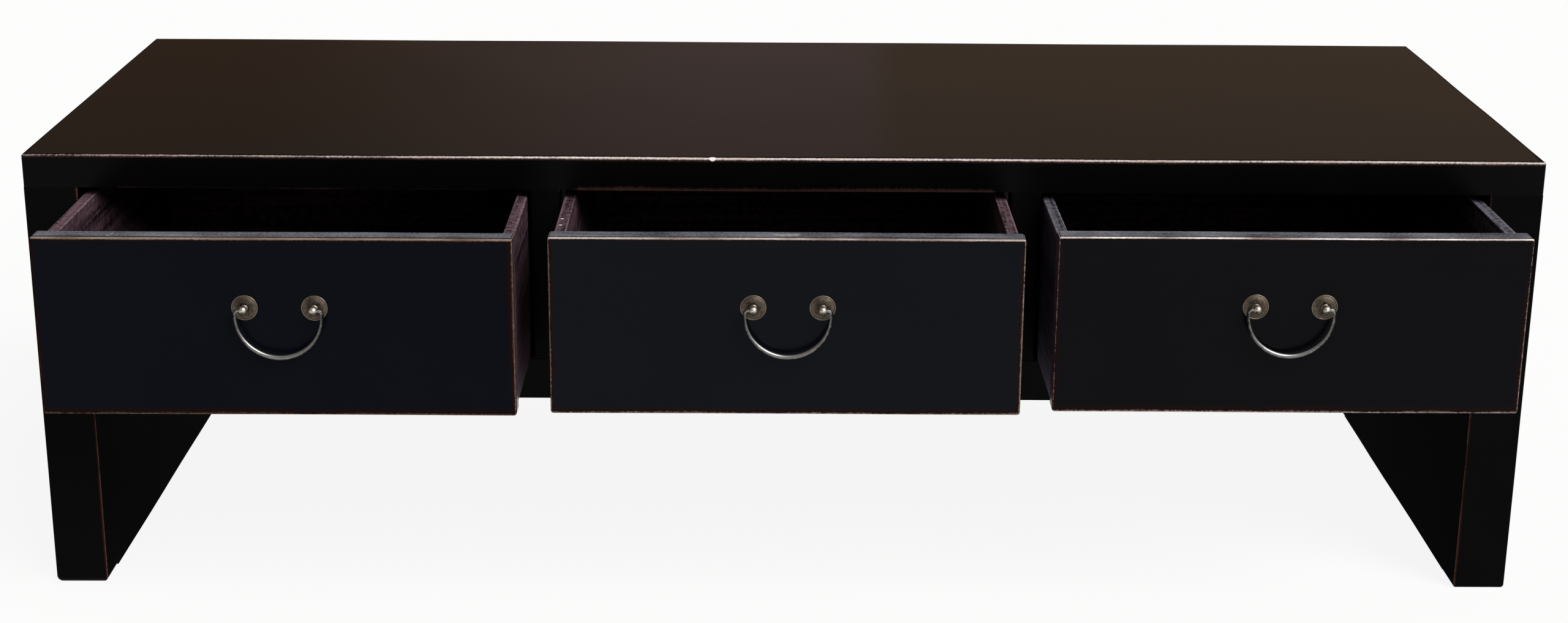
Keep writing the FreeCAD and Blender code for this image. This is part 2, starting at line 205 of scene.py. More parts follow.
def makeStain(name, grainAlong, **changes):
    look = {**stainLook, **changes}
    material, tree = newMaterial(name)
    where = addNode(tree, "ShaderNodeTexCoord").outputs["Object"]
    grainPlace, fibrePlace = (addNode(tree, "ShaderNodeMapping", {
        "Vector": where,
        "Scale": stretchedScale(grainAlong, look[mark + "Width"], look[mark + "Length"])}).outputs[0]
        for mark in ("grain", "fibre"))
    grain = addNode(tree, "ShaderNodeTexNoise", {
        "Vector": grainPlace, "Scale": 1.0, "Detail": 3.0, "Distortion": 0.4}).outputs[0]
    fibre = addNode(tree, "ShaderNodeTexNoise", {
        "Vector": fibrePlace, "Scale": 1.0, "Detail": 2.0}).outputs[0]
    bands = addNode(tree, "ShaderNodeTexNoise", {
        "Vector": where, "Scale": perMetre(look["blotch"]), "Detail": 3.0}).outputs[0]
    for noise, share in ((fibre, look["fibreShare"]), (grain, look["grainShare"])):
        bands = addNode(tree, "ShaderNodeMath", {0: noise, 1: share, 2: bands},
                        operation="MULTIPLY_ADD").outputs[0]
    lightShare = addNode(tree, "ShaderNodeMapRange", {"Value": bands, **fromRange(look["toneRange"])})
    tone = addNode(tree, "ShaderNodeMix", {
        mixShare: lightShare.outputs[0], mixFrom: linear(look["dark"]), mixTo: linear(look["light"])},
        data_type="RGBA").outputs[mixResult]
    # worn where the arris attribute is high or the face is rubbed, in patches
    arris, rub = (addNode(tree, "ShaderNodeAttribute", attribute_name=key).outputs["Fac"]
                  for key in ("arris", "rub"))
    close = addNode(tree, "ShaderNodeMapRange", {
        "Value": arris, **fromRange((1 - look["wornWidth"] / wearReach, 1.0)),
        "To Max": look["arrisWear"]}).outputs[0]
    close = addNode(tree, "ShaderNodeMath", {0: rub, 1: look["rubWear"], 2: close},
                    operation="MULTIPLY_ADD").outputs[0]
    patchy = addNode(tree, "ShaderNodeMapRange", {
        "Value": bands, **fromRange(look["patchRange"]), "To Min": look["patchLeast"]})
    worn = addNode(tree, "ShaderNodeMath", {0: close, 1: patchy.outputs[0]}, operation="MULTIPLY",
                   use_clamp=True).outputs[0]
    tone = addNode(tree, "ShaderNodeMix", {mixShare: worn, mixFrom: tone, mixTo: linear(look["worn"])},
                   data_type="RGBA").outputs[mixResult]
    tone = withChips(tree, where, tone, look)
    gloss = addNode(tree, "ShaderNodeMath", {
        0: fibre, 1: look["fibreRoughness"], 2: look["roughness"]}, operation="MULTIPLY_ADD")
    bump = addNode(tree, "ShaderNodeBump", {
        "Strength": look["bump"], "Distance": look["bumpHeight"] * mm, "Height": bands})
    shader = addNode(tree, "ShaderNodeBsdfPrincipled", {
        "Base Color": tone, "Roughness": gloss.outputs[0], "IOR": 1.5,
        "Specular IOR Level": look["specular"], "Normal": bump.outputs[0]})
    addNode(tree, "ShaderNodeOutputMaterial", {"Surface": shader.outputs[0]})
    return material


# Metals of the pulls: sheet brass pressed to a plate, a turned brass post and a forged bail, all
# handled for years, and plain steel fixings. Patina is brown in the hollows and the high places are
# rubbed brighter, by the rub attribute and a mottle; the same attribute also paints a highlight on the
# balls' tops and the bails' inner sides, and shade under the balls, on the bails' outer sides and partly
# beside the posts on the plates. Fine scratches break up the gloss. Spots and scratches are in mm, and
# the range is where the bright metal starts and is full.
metalSurface = {"patinaRoughness": 0.18, "bump": 0.12, "bumpHeight": 0.1}
metalLooks = {
    "agedBrass": {"bright": "#776c5f", "patina": "#1a1613", "roughness": 0.42,
                  "spot": 2.8, "scratch": 0.5, "range": (0.42, 1.2), "mottle": 0.9},
    "handledBrass": {"bright": "#e6dccd", "patina": "#1f1611", "roughness": 0.34,
                     "spot": 3.0, "scratch": 0.4, "range": (0.3, 1.3), "mottle": 0.9},
    "darkBronze": {"bright": "#b4b4b2", "patina": "#1c1a19", "roughness": 0.28,
                   "spot": 4.0, "scratch": 0.6, "range": (0.4, 1.0), "mottle": 0.35},
    "plainSteel": {"bright": "#a8a9ab", "patina": "#6f6a66", "roughness": 0.35,
                   "spot": 2.0, "scratch": 0.5, "range": (0.3, 1.3), "mottle": 0.9},
}


def makeMetal(name):
    look = metalLooks[name]
    material, tree = newMaterial(name)
    where = addNode(tree, "ShaderNodeTexCoord").outputs["Object"]
    spot = addNode(tree, "ShaderNodeTexNoise", {
        "Vector": where, "Scale": perMetre(look["spot"]), "Detail": 4.0, "Roughness": 0.6})
    scratch = addNode(tree, "ShaderNodeTexNoise", {
        "Vector": where, "Scale": perMetre(look["scratch"]), "Detail": 2.0})
    # the rub attribute mixes patina to bright metal: real wear, plus painted highlight and painted shade on
    # the balls and bails
    rub = addNode(tree, "ShaderNodeAttribute", attribute_name="rub").outputs["Fac"]
    high = addNode(tree, "ShaderNodeMath", {0: spot.outputs[0], 1: look["mottle"], 2: rub},
                   operation="MULTIPLY_ADD")
    share = addNode(tree, "ShaderNodeMapRange", {
        "Value": high.outputs[0], **fromRange(look["range"])}).outputs[0]
    tone = addNode(tree, "ShaderNodeMix", {
        mixShare: share, mixFrom: linear(look["patina"]), mixTo: linear(look["bright"])},
        data_type="RGBA").outputs[mixResult]
    gloss = addNode(tree, "ShaderNodeMapRange", {
        "Value": share, "To Min": look["roughness"] + metalSurface["patinaRoughness"],
        "To Max": look["roughness"]})
    bump = addNode(tree, "ShaderNodeBump", {
        "Strength": metalSurface["bump"], "Distance": metalSurface["bumpHeight"] * mm,
        "Height": scratch.outputs[0]})
    shader = addNode(tree, "ShaderNodeBsdfPrincipled", {
        "Base Color": tone, "Metallic": 1.0, "Roughness": gloss.outputs[0], "Normal": bump.outputs[0]})
    addNode(tree, "ShaderNodeOutputMaterial", {"Surface": shader.outputs[0]})
    return material


chipOnFront = {"x": -77.0, "radius": 4.0}  # mm along the front top arris from the middle
topLo, topHi = (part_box("top_frame_left")[0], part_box("top_frame_right")[1])
chipPlace = (chipOnFront["x"] * mm, topLo.y, topHi.z, chipOnFront["radius"])
specksOnSide = {"x": -1.3, "y": (55.0, 77.0), "radius": 2.2}  # mm from the side's middle and front end
speckLow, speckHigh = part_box("drawer_middle_side_left")
speckX = (speckLow.x + speckHigh.x) / 2 + specksOnSide["x"] * mm
speckPlaces = [(speckX, speckLow.y + y * mm, speckHigh.z, specksOnSide["radius"])
               for y in specksOnSide["y"]]
# soft pale scuffs on two drawer tops: mm from the drawer's left end and its face, and their radius
scuffs = {"left": ((75.0, 7.0, 2.2), (77.5, 13.0, 2.2)),
          "middle": ((226.0, 12.0, 4.5), (232.0, 10.0, 5.5), (239.0, 11.0, 6.0), (246.0, 12.0, 5.0))}
scuffLook = {}
for name, places in scuffs.items():
    scuffLow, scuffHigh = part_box(f"drawer_{name}_front")
    scuffLook[name] = {"chip": "#9c9a98", "chipEdge": 0.1, "chips": [
        (scuffLow.x + x * mm, scuffLow.y + y * mm, scuffHigh.z, radius) for x, y, radius in places]}
topArris = {"uneven": 0.9, "coreWidth": 1.35, "ground": "#bda9a2", "groundPale": "#ece2de",
            "chips": [chipPlace]}
drawerArris = {"coreWidth": 1.6, "borderWidth": 2.6, "uneven": 1.2}
drawerFilm = {"film": "#04060c", "filmPale": "#080b12", **drawerArris}
materials = {
    "topLacquer": makeLacquer("blackLacquerTop", "x", film="#040302", filmPale="#080504", roughness=0.06,
                              specular=0.08, borderWidth=4.4, undercoat="#120503", **topArris),
    "bandLacquer": makeLacquer("blackLacquerBand", "x", specular=0.04, undercoat="#35221e", **topArris),
    "railLacquer": makeLacquer("blackLacquerRails", "x", specular=0.035, undercoat="#3f1c12"),
    "postLacquer": makeLacquer("blackLacquerPosts", "z", specular=0.025, undercoat="#2c1612",
                               ground="#412a24", groundPale="#64493f"),
    "sideLacquer": makeLacquer("blackLacquerSides", "z", specular=0.13, undercoat="#2c1612",
                               ground="#4a3229", groundPale="#7d6358"),
    # the inner faces of the legs and sides take a near-black, barely glossy copy of the lacquer: painted
    # shade under the stand
    "insideLacquer": makeLacquer("blackLacquerInside", "z", film="#010101", filmPale="#020203",
                                 roughness=0.5, specular=0.001),
    # the three drawer fronts are lit and shaded copies of one lacquer: the worn arris ground is painted
    # paler from left to right as painted light from the right, and the left front's weaker specular is
    # painted shade
    "leftLacquer": makeLacquer("blackLacquerLeftDrawer", "x", **drawerFilm, specular=0.038,
                               ground="#58463d", groundPale="#88776c", **scuffLook["left"]),
    "middleLacquer": makeLacquer("blackLacquerMiddleDrawer", "x", **drawerFilm, specular=0.072,
                                 ground="#7e6e67", groundPale="#c0b2ab", **scuffLook["middle"]),
    "rightLacquer": makeLacquer("blackLacquerRightDrawer", "x", film="#040407", filmPale="#07070a",
                                specular=0.06, ground="#92807b", groundPale="#eae0dd", **drawerArris),
    "sideStain": makeStain("stainedDrawerSides", "y"),
    "chippedStain": makeStain("stainedChippedSide", "y", chips=speckPlaces),
    "greyStain": makeStain("stainedGreySides", "y", dark="#14111a", light="#47424e", worn="#7b7883"),
    "crossStain": makeStain("stainedDrawerBacks", "x"),
    "bareWood": makeStain("bareRunnerWood", "y", dark="#5a4532", light="#8d7152", worn="#a98d6c"),
}
materials.update({name: makeMetal(name) for name in metalLooks})
print("materials made:", len(materials))

# how a grid becomes a piece: the gap in metres under which points are one, the angle in degrees of
# a sharp edge, and how squarely a polygon looks along an axis to take that side's finish
pieceLook = {"weldGap": 1e-6, "sharpAngle": 38.0, "facing": 0.8}


def gridFaces(rows, columns, closed=False):
    # quads between neighbouring rows and columns of a grid of points, numbered row by row
    j = np.arange(columns if closed else columns - 1)
    i = np.arange(rows - 1)[:, None] * columns
    nextJ = (j + 1) % columns
    quads = np.stack([i + j, i + nextJ, i + columns + nextJ, i + columns + j], -1)
    return quads.reshape(-1, 4)


def weld(points, faces, values):
    # points closer than the weld gap become one; a quad that loses a corner becomes a triangle
    keys = np.round(points / pieceLook["weldGap"]).astype(np.int64)
    _, first, place = np.unique(keys, axis=0, return_index=True, return_inverse=True)
    place = place.reshape(-1)
    faces = place[faces]
    kept = {}
    for name, value in values.items():
        kept[name] = np.zeros(len(first))
        np.maximum.at(kept[name], place, value)
    same = faces == np.roll(faces, -1, axis=1)
    lost = same.sum(1)
    quads = faces[lost == 0]
    quads = quads[(quads[:, 0] != quads[:, 2]) & (quads[:, 1] != quads[:, 3])]
    triangles = faces[lost == 1][~same[lost == 1]].reshape(-1, 3)
    return points[first], quads.tolist() + triangles.tolist(), kept


def addPiece(name, shape, material, body, nodes, others=None):
    # A closed surface as an object at the origin that stands for the CAD nodes and rides on their
    # body. Each other material goes on the polygons that look the way its listed sides do.
    points, faces, values = weld(*shape)
    mesh = bpy.data.meshes.new(name)
    mesh.from_pydata(points.tolist(), [], faces)
    for key, value in values.items():
        mesh.attributes.new(key, "FLOAT", "POINT").data.foreach_set("value", value.astype(np.float32))
    skin = bmesh.new()
    skin.from_mesh(mesh)
    bmesh.ops.recalc_face_normals(skin, faces=skin.faces)
    skin.to_mesh(mesh)
    skin.free()
    mesh.shade_smooth()
    mesh.set_sharp_from_angle(angle=math.radians(pieceLook["sharpAngle"]))
    mesh.materials.append(material)
    normals = np.empty(len(mesh.polygons) * 3, np.float32)
    mesh.polygons.foreach_get("normal", normals)
    normals = normals.reshape(-1, 3)
    chosen = np.zeros(len(normals), np.int32)
    for finish, sides in (others or {}).items():
        mesh.materials.append(materials[finish])
        for side in sides.split():
            toward = normals[:, "xyz".index(side[0])] * (1 if side[1] == "+" else -1)
            chosen[toward > pieceLook["facing"]] = len(mesh.materials) - 1
    mesh.polygons.foreach_set("material_index", chosen)
    piece = bpy.data.objects.new(name, mesh)
    scene.collection.objects.link(piece)
    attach(piece, body)
    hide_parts(*nodes)


def pieceName(node):
    first, *rest = node.split("_")
    return first + "".join(word.capitalize() for word in rest)


handPlane = {"height": 0.22 * mm, "lengths": (0.41, 0.29, 0.23),
             "phases": ((1.3, 0.0), (0.4, 0.9), (2.1, 0.5))}


def planed(points, waviness=1.0):
    # hand-planed flatness: each coordinate moves by a slow sine of one other times a cosine of the third
    x, y, z = points.T
    a, b, c = (2 * np.pi / length for length in handPlane["lengths"])
    (x1, x2), (y1, y2), (z1, z2) = handPlane["phases"]
    moved = np.stack([np.sin(b * y + x1) * np.cos(c * z + x2), np.sin(a * x + y1) * np.cos(c * z + y2),
                      np.sin(a * x + z1) * np.cos(b * y + z2)], 1)
    return points + handPlane["height"] * waviness * moved


# lines near a board's ends, in roundings: over the rounding itself and then over the wear; and the
# most of a board's size that those lines and one rounding may take
boardGrid = {"roundSteps": (0, 0.3, 0.65, 1), "wearSteps": (1.4, 2, 2.8, 4, 5.6),
             "mostNear": 0.45, "mostRounding": 0.4}


def boardLines(low, high, rounding, spacing):
    # lines across a board: close together over the rounding and the wear at both ends, then even
    near = rounding * np.array(boardGrid["roundSteps"] + boardGrid["wearSteps"])
    near = near[near < (high - low) * boardGrid["mostNear"]]
    count = max(2, int(round((high - low - 2 * near[-1]) / spacing)) + 1)
    middle = np.linspace(low + near[-1], high - near[-1], count)
    return np.concatenate([low + near[:-1], middle, (high - near[:-1])[::-1]])


# a wear is a factor on the distance in mm and a start in mm, for two faces or as usual
boardLook = {"rounding": (1.4, 1.4, 1.4), "spacing": 60.0, "joined": "", "wear": {}, "usualWear": (2.2, 0.0),
             "fade": 0.0, "foot": 0.0, "rubbed": "", "stained": "", "waviness": 1.0}


def boardSurface(low, high, **changes):
    # A board with rounded arrises: six flat grids on its box, each point brought to the nearest
    # point of the box shrunk by the rounding of each axis and then out again onto an ellipsoid of
    # that rounding. A joined face runs square into its neighbour. Wear is the distance to each free
    # arris times a factor plus a start, and lessens below the top over the fade. A worn foot narrows
    # as the square of the depth into it.
    look = {**boardLook, **changes}
    low, high = np.array(low), np.array(high)
    r = np.minimum(np.array(look["rounding"]) * mm, boardGrid["mostRounding"] * (high - low))
    ends = (low, high)
    joined = look["joined"].split()
    wear = look["wear"]
    lines = [boardLines(low[k], high[k], r[k], look["spacing"] * mm) for k in range(3)]
    points, faces, arris, start = [], [], [], 0
    marks = {"rub": [], "stain": []}
    for axis, side in itertools.product(range(3), (0, 1)):
        face = "xyz"[axis] + "-+"[side]
        u, v = (axis + 1) % 3, (axis + 2) % 3
        grid = np.meshgrid(lines[u], lines[v], indexing="ij")
        flat = np.empty((grid[0].size, 3))
        flat[:, axis] = ends[side][axis]
        flat[:, u], flat[:, v] = grid[0].ravel(), grid[1].ravel()
        away = np.full(len(flat), wearReach)
        for k, s in itertools.product((u, v), (0, 1)):
            other = "xyz"[k] + "-+"[s]
            if face not in joined and other not in joined:
                factor, first = wear.get(face + other, wear.get(other + face, look["usualWear"]))
                away = np.minimum(away, np.abs(flat[:, k] - ends[s][k]) / mm * factor + first)
        if look["fade"]:
            away += wearReach * (high[2] - flat[:, 2]) / (look["fade"] * mm)
        away = np.minimum(away, wearReach)
        points.append(flat)
        faces.append(gridFaces(len(lines[u]), len(lines[v])) + start)
        arris.append(1 - away / wearReach)
        for mark, listed in (("rub", "rubbed"), ("stain", "stained")):
            marks[mark].append(np.full(len(flat), float(face in look[listed].split())))
        start += len(flat)
    points = np.concatenate(points)
    free = [[0.0 if "xyz"[k] + "-+"[s] in joined else r[k] for k in range(3)] for s in (0, 1)]
    inner = np.clip(points, low + free[0], high - np.array(free[1]))
    out = (points - inner) / r
    length = np.linalg.norm(out, axis=1, keepdims=True)
    shortest = 1e-6  # points nearer than this to the shrunk box stay on it
    points = inner + r * np.divide(out, length, out=np.zeros_like(out), where=length > shortest)
    if look["foot"]:
        foot, half = look["foot"] * mm, (high - low)[:2] / 2
        footHeight = 2 * foot
        into = np.clip((low[2] + footHeight - points[:, 2:]) / footHeight, 0, 1)
        points[:, :2] = low[:2] + half + (points[:, :2] - low[:2] - half) * (1 - into ** 2 * foot / half)
    values = {"arris": np.concatenate(arris), **{mark: np.concatenate(part) for mark, part in marks.items()}}
    return planed(points, look["waviness"]), np.concatenate(faces), values


# The top: one seamless lacquered slab over the mitred frame and its sunk panel. Sizes and places in
# mm; the wear's start along the front changes with the place, and the lower front arris is worn over
# two of the drawers.
topLook = {
    "rounding": 2.4, "cornerRounding": 2.4, "step": 45.0, "panelEdge": 84.0,
    "wear": {"front": 0.5, "side": 0.7, "back": 1.2}, "start": {"front": 0.0, "side": 0.8, "back": 0.6},
    "frontPlaces": (-700, -490, -230, 50, 270), "frontStarts": (0.45, 0.33, 0.0, 0.0, 0.1),
    "lowerWear": 0.18, "lowerStarts": {"left": 2.0, "middle": 1.45},
    # grid: points over a quarter turn, along the front, across an end, and down the profile's parts
    "turnCount": 5, "alongCount": 32, "acrossCount": 10, "sideCount": 4, "underCount": 5, "hollowCount": 6,
    # in roundings, where the side's lines start and how far in its edge counts; and how squarely a
    # corner point faces front or back to take that wear
    "sideStart": 1.4, "edgeSlack": 1.01, "cornerShare": 0.7,
}


def topSurface():
    # A closed profile of inset and height carried round a rounded rectangle: each ring point is a
    # corner centre plus the corner radius, both shrinking with the inset, so rings close to a line.
    low, high = np.array(topLo), np.array(topHi)
    half, centre = (high - low)[:2] / 2, (high + low)[:2] / 2
    r, step, panelEdge = (topLook[key] * mm for key in ("rounding", "step", "panelEdge"))
    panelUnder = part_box("top_panel")[0].z
    arc = np.linspace(0, np.pi / 2, topLook["turnCount"])
    near = r * np.array(boardGrid["wearSteps"])
    flat = np.append(near, np.linspace(near[-1], half[1], int(half[1] / step) + 1)[1:])
    side = np.linspace(high[2] - topLook["sideStart"] * r, low[2] + r, topLook["sideCount"])
    under = np.linspace(0, panelEdge, topLook["underCount"])
    hollow = np.linspace(panelEdge, half[1], topLook["hollowCount"])
    inset = np.concatenate([flat[::-1], r * (1 - np.sin(arc)), 0 * side, under, hollow])
    height = np.concatenate([np.full(len(flat), high[2]), high[2] - r * (1 - np.cos(arc)), side,
                             np.full(len(under), low[2]), np.full(len(hollow), panelUnder)])
    along, across = (np.linspace(-1, 1, topLook[key] + 2)[1:-1] for key in ("alongCount", "acrossCount"))
    one, long, short = (np.ones(len(part)) for part in (arc, along, across))
    sx = np.concatenate([-one, along, one, short, one, -along, -one, -short])
    sy = np.concatenate([-one, -long, -one, across, one, long, one, -across])
    cx = np.concatenate([-np.cos(arc), 0 * long, np.sin(arc), short,
                         np.cos(arc), 0 * long, -np.sin(arc), -short])
    cy = np.concatenate([-np.sin(arc), -long, -np.cos(arc), 0 * short,
                         np.sin(arc), long, np.cos(arc), 0 * short])
    corner = np.maximum(topLook["cornerRounding"] * mm - inset, 0)[:, None]
    halfX, halfY = (half[0] - inset)[:, None], (half[1] - inset)[:, None]
    x = centre[0] + sx * (halfX - corner) + cx * corner
    y = centre[1] + sy * (halfY - corner) + cy * corner
    z = np.broadcast_to(height[:, None], x.shape)
    points = np.stack([x, y, z], -1).reshape(-1, 3)
    # wear: distance from the top arris, by side and by place along the front, and from the lower
    # front arris over two of the openings
    atFront, atBack = cy < -topLook["cornerShare"], cy > topLook["cornerShare"]
    factor, start = (np.where(atFront, part["front"], np.where(atBack, part["back"], part["side"]))
                     for part in (topLook["wear"], topLook["start"]))
    down = np.where(inset < r * topLook["edgeSlack"], high[2] - height, 0)
    less = np.interp(x / mm, topLook["frontPlaces"], topLook["frontStarts"]) * atFront
    away = np.hypot(inset, down)[:, None] / mm * factor + start + less
    for name, lowerStart in topLook["lowerStarts"].items():
        a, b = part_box(f"drawer_{name}_front")
        lower = np.hypot(inset[:, None], z - low[2]) / mm * topLook["lowerWear"] + lowerStart
        away = np.where((x > a.x) & (x < b.x) & (y < centre[1]), np.minimum(away, lower), away)
    away = np.minimum(away, wearReach).ravel()
    return planed(points), gridFaces(len(inset), len(sx), True), {"arris": 1 - away / wearReach}


addPiece("topSlab", topSurface(), materials["topLacquer"], "carcass",
         ["top_frame_front", "top_frame_back", "top_frame_left", "top_frame_right", "top_panel"],
         {"bandLacquer": "y-", "sideLacquer": "x- x+ y+"})
print("top made")

# carcass boards: the finish of each and how its arrises are joined and worn
postWear = {"joined": "z+", "usualWear": (2.6, 0.3)}
dividerWear = {"joined": "z+ z-", "usualWear": (1.6, 0.3), "fade": 24.0, "spacing": 12.0}
railWear = {"joined": "x- x+", "usualWear": (2.2, 0.8)}
carcassBoards = {
    "post_front_left": ("postLacquer", {
        **postWear, "wear": {"x+y-": (0.75, 0.3), "x-y-": (4.0, 0.3)}, "foot": 4.0}),
    "post_front_right": ("postLacquer", {
        **postWear, "wear": {"x-y-": (0.75, 0.3), "x+y-": (2.6, 0.3)}, "foot": 2.2}),
    "post_back_left": ("sideLacquer", {**postWear, "foot": 3.0}),
    "post_back_right": ("sideLacquer", {**postWear, "foot": 2.5}),
    "divider_left": ("postLacquer", dividerWear),
    "divider_right": ("postLacquer", dividerWear),
    "front_bottom_rail": ("railLacquer", {**railWear, "waviness": 0.3}),
    "back_bottom_rail": ("sideLacquer", railWear),
    "back_board": ("sideLacquer", {"joined": "x- x+ z- z+"}),
}
for side, layer in itertools.product(("left", "right"), ("inner", "outer")):
    # inner boards take the painted-shade copy of the lacquer
    finish = "insideLacquer" if layer == "inner" else "sideLacquer"
    carcassBoards[f"side_{layer}_board_{side}"] = (finish, {"joined": "y- y+ z- z+"})


def seenBox(node):
    # a board's box without the tenons that its neighbours hide
    low, high = (Vector(corner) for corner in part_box(node))
    if node.startswith(("post", "divider")):
        high.z = topLo.z
    if node.startswith("divider"):
        low.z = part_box("front_bottom_rail")[1].z
    if node.endswith("bottom_rail"):
        low.x, high.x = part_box("post_front_left")[1].x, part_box("post_front_right")[0].x
    return low, high


for node, (finish, look) in carcassBoards.items():
    others = {}
    if node.startswith("post"):
        inward, outward = ("x+", "x-") if node.endswith("left") else ("x-", "x+")
        # a post's inward face takes the painted-shade copy of the lacquer
        others = {"insideLacquer": inward, "sideLacquer": outward}
    addPiece(pieceName(node), boardSurface(*seenBox(node), **look), materials[finish], "carcass",
             [node], others)
print("carcass boards made:", len(carcassBoards))

# drawer boards: finish, slot, and how the arrises are joined and worn
drawerNames = ("left", "middle", "right")
drawerSide = ("sideStain", "stained_wood", {
    "joined": "y-", "rubbed": "z+", "usualWear": (1.4, 0.0), "waviness": 0.3})
drawerBoards = {
    "front": ("Lacquer", "black_lacquer", {
        "rounding": (2.8, 1.6, 2.8), "spacing": 45.0, "rubbed": "z+", "stained": "x- x+",
        "usualWear": (3.2, 0.0), "wear": {"y-z-": (0.2, 1.0), "x-z+": (1.44, 0.16),
                                          "x+z+": (1.44, 0.16), "y+z+": (3.84, 0.0)}}),
    "side_left": drawerSide,
    "side_right": drawerSide,
    "back": ("crossStain", "stained_wood", {
        "joined": "x- x+", "rubbed": "z+", "usualWear": (1.8, 0.0), "waviness": 0.3}),
    "bottom": ("crossStain", "stained_wood", {"joined": "x- x+ y- y+", "waviness": 0.3}),
}
# each front's own wear along its top and its two ends, and the sides with another stain
frontWear = {"left": {"y-z+": (0.58, 0.0), "y-x-": (0.25, 1.39), "y-x+": (0.25, 1.0)},
             "middle": {"y-z+": (0.72, 0.0), "y-x-": (0.25, 1.1), "y-x+": (0.25, 1.05)},
             "right": {"y-z+": (0.86, 0.0), "y-x-": (0.25, 1.29), "y-x+": (0.25, 1.2)}}
otherStains = {"drawer_middle_side_left": "chippedStain", "drawer_right_side_left": "greyStain",
               "drawer_right_side_right": "greyStain"}
for name, (part, (finish, slot, look)) in itertools.product(drawerNames, drawerBoards.items()):
    node = f"drawer_{name}_{part}"
    if part == "front":
        # each front takes its drawer's lit or shaded copy of the lacquer
        finish = name + finish
        look = {**look, "wear": {**look["wear"], **frontWear[name]}}
    finish = otherStains.get(node, finish)
    addPiece(pieceName(node), boardSurface(*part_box(node), **look), materials[finish], f"drawer_{name}",
             [node])
print("drawers made:", len(drawerNames))


def latheSurface(radius, depth, centre, turns):
    # a profile of radius and depth turned about an axis along y through the centre
    angle = np.linspace(0, 2 * np.pi, turns, endpoint=False)
    x = centre[0] + np.outer(radius, np.cos(angle))
    z = centre[2] + np.outer(radius, np.sin(angle))
    y = np.broadcast_to(centre[1] + np.asarray(depth)[:, None], x.shape)
    return np.stack([x, y, z], -1).reshape(-1, 3), gridFaces(len(radius), turns, True)


def together(shapes):
    # several surfaces as one: points and values joined end to end, faces renumbered
    starts = np.cumsum([0] + [len(points) for points, _, _ in shapes])
    faces = np.concatenate([face + start for (_, face, _), start in zip(shapes, starts)])
    values = {key: np.concatenate([v[key] for _, _, v in shapes]) for key in shapes[0][2]}
    return np.concatenate([points for points, _, _ in shapes]), faces, values


# sizes in mm and degrees; a rub is a start and what is added over the part; the dome's rub is least beside
# the post, partly patina at its foot and partly painted shade under the ball
plateLook = {"bead": 0.8, "rim": 0.9, "crown": 4.2, "flatCrown": 0.75, "sunkBead": 0.2, "fallPower": 1.4,
             "rollFrom": 160.0, "rollCount": 9, "fallCount": 12, "turns": 72,
             "domeRub": (0.05, 0.4), "beadRub": (0.35, 0.4), "rimRub": 0.3}


def plateShape(centreX, centreZ, backY, radius, height):
    # pressed plate: a low dome that falls from a flat crown to a rolled bead at the rim, turned
    bead, crown, rim = (plateLook[key] * mm for key in ("bead", "crown", "rim"))
    roll = np.linspace(math.radians(plateLook["rollFrom"]), 0, plateLook["rollCount"])
    fall = np.linspace(0, 1, plateLook["fallCount"])
    end = radius - bead + bead * math.cos(roll[0])
    r = np.concatenate([[0, crown * plateLook["flatCrown"]], crown + (end - crown) * fall,
                        radius - bead + bead * np.cos(roll[1:]), [radius, 0]])
    low = rim - bead * plateLook["sunkBead"]
    up = np.concatenate([[height, height], low + (height - low) * (1 - fall ** plateLook["fallPower"]),
                         low + bead * (np.sin(roll[1:]) - math.sin(roll[0])), [0, 0]])
    # the dome darkens towards the post: partly patina, partly painted shade under the ball
    (dome, domeMore), (rolled, rolledMore) = plateLook["domeRub"], plateLook["beadRub"]
    rub = np.concatenate([[0.0, 0.0], dome + domeMore * fall, rolled + rolledMore * np.sin(roll[1:]),
                          [plateLook["rimRub"], 0]])
    points, faces = latheSurface(r, -up, (centreX, backY, centreZ), plateLook["turns"])
    return points, faces, {"rub": np.repeat(rub, plateLook["turns"])}


# a rub is a start and what is taken off along the part; the last is all round and more upward, which paints
# a highlight on the top of the ball and shade under it
postLook = {"neck": 2.7, "shank": 2.0, "footFlare": 3.9, "flarePower": 3, "ballTo": 142.0,
            "ballCount": 15, "neckCount": 7, "turns": 40,
            "ballRub": (0.9, 0.5), "neckRub": (0.3, 0.2), "upwardRub": (0.45, 0.65)}


def postShape(centreX, centreZ, ballY, ball, faceY, endY):
    # turned post: a ball on a waisted neck that flares to a foot on the plate, then a plain shank
    arc = np.linspace(0, math.radians(postLook["ballTo"]), postLook["ballCount"])
    waist = np.linspace(0, 1, postLook["neckCount"])
    neck, foot, shank = (postLook[key] * mm for key in ("neck", "footFlare", "shank"))
    ballEnd = ballY - ball * math.cos(arc[-1])
    r = np.concatenate([ball * np.sin(arc), neck + (foot - neck) * waist ** postLook["flarePower"],
                        [shank, shank, 0]])
    y = np.concatenate([ballY - ball * np.cos(arc), ballEnd + (faceY - ballEnd) * waist,
                        [faceY, endY, endY]])
    (tip, tipLess), (slim, slimLess) = postLook["ballRub"], postLook["neckRub"]
    rub = np.concatenate([tip - tipLess * arc / arc[-1], slim - slimLess * waist, [0, 0, 0]])
    points, faces = latheSurface(r, y, (centreX, 0.0, centreZ), postLook["turns"])
    # the rub grows upward round the post: a painted highlight on the ball's top and painted shade on its
    # underside
    allRound, upwardHighlight = postLook["upwardRub"]
    angle = np.linspace(0, 2 * np.pi, postLook["turns"], endpoint=False)
    rub = np.outer(rub, allRound + upwardHighlight * np.sin(angle))
    return points, faces, {"rub": rub.ravel()}


bailLook = {"arm": 1.75, "belly": 2.65, "bend": 4.0, "inBall": 3.0, "pinLine": 1.0, "swellPower": 1.3,
            "bendCount": 9, "bellyCount": 32, "around": 20,
            "armRub": 0.5, "bellyRub": 0.85, "outerShare": 0.2, "pinPolish": 0.3}


